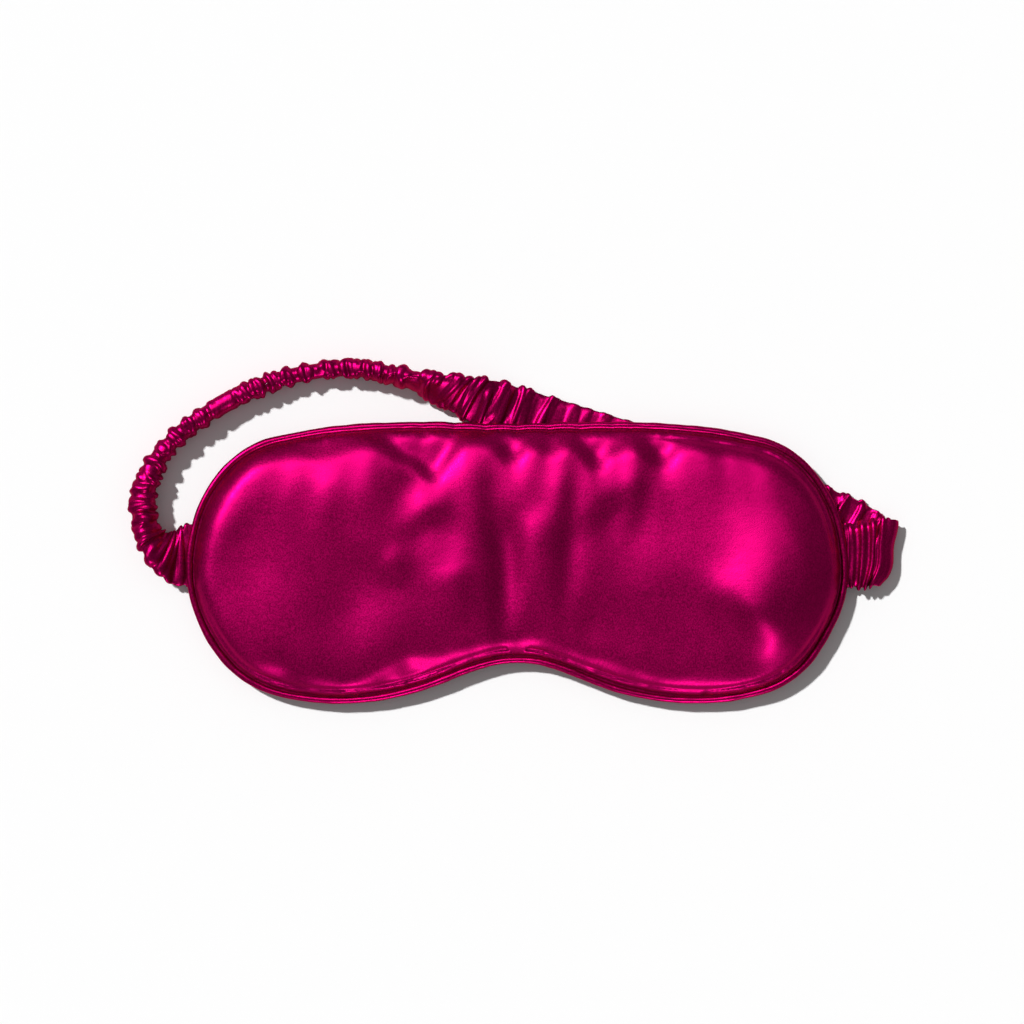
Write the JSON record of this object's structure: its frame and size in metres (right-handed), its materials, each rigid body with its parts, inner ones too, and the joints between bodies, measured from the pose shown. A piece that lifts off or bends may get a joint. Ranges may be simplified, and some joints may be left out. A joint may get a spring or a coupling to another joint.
{
  "type": "sleep eye mask",
  "caption": "Padded satin sleep eye mask with piped edge, nose arch and a gathered elastic head strap sewn into both sides.",
  "frame": {"origin": "on the flat back, in the middle of the mask, at the height of the surface that it lies on", "axes": "+X from side to side, towards the folded end of the strap; +Y towards the forehead edge; +Z out of the front"},
  "size_m": [0.2456, 0.11, 0.0123],
  "materials": {
    "satin": "glossy satin weave, magenta",
    "piping_satin": "bias-cut glossy satin, magenta",
    "strap_satin": "gathered glossy satin, magenta",
    "wadding": "soft fibre wadding",
    "lining": "dense black cloth",
    "filler_cord": "twisted cotton",
    "elastic": "woven elastic tape",
    "thread": "spun polyester thread"
  },
  "bodies": {
    "mask": {"front_panel": "satin", "back_panel": "satin", "front_wadding": "wadding", "back_wadding": "wadding", "blackout_lining": "lining", "piping_cover": "piping_satin", "piping_cord": "filler_cord", "perimeter_thread": "thread", "left_strap_tail": "strap_satin", "right_strap_tail": "strap_satin", "left_bar_tack": "thread", "right_bar_tack": "thread"},
    "strap": {"strap_casing": "strap_satin", "strap_elastic": "elastic"}
  },
  "joints": [
    {"name": "strap_swing", "type": "hinge", "parent": "mask", "child": "strap", "pos_m": [0, 0.0026, 0.00335], "axis": [-1, 0, 0], "range_deg": [0, 100]}
  ]
}
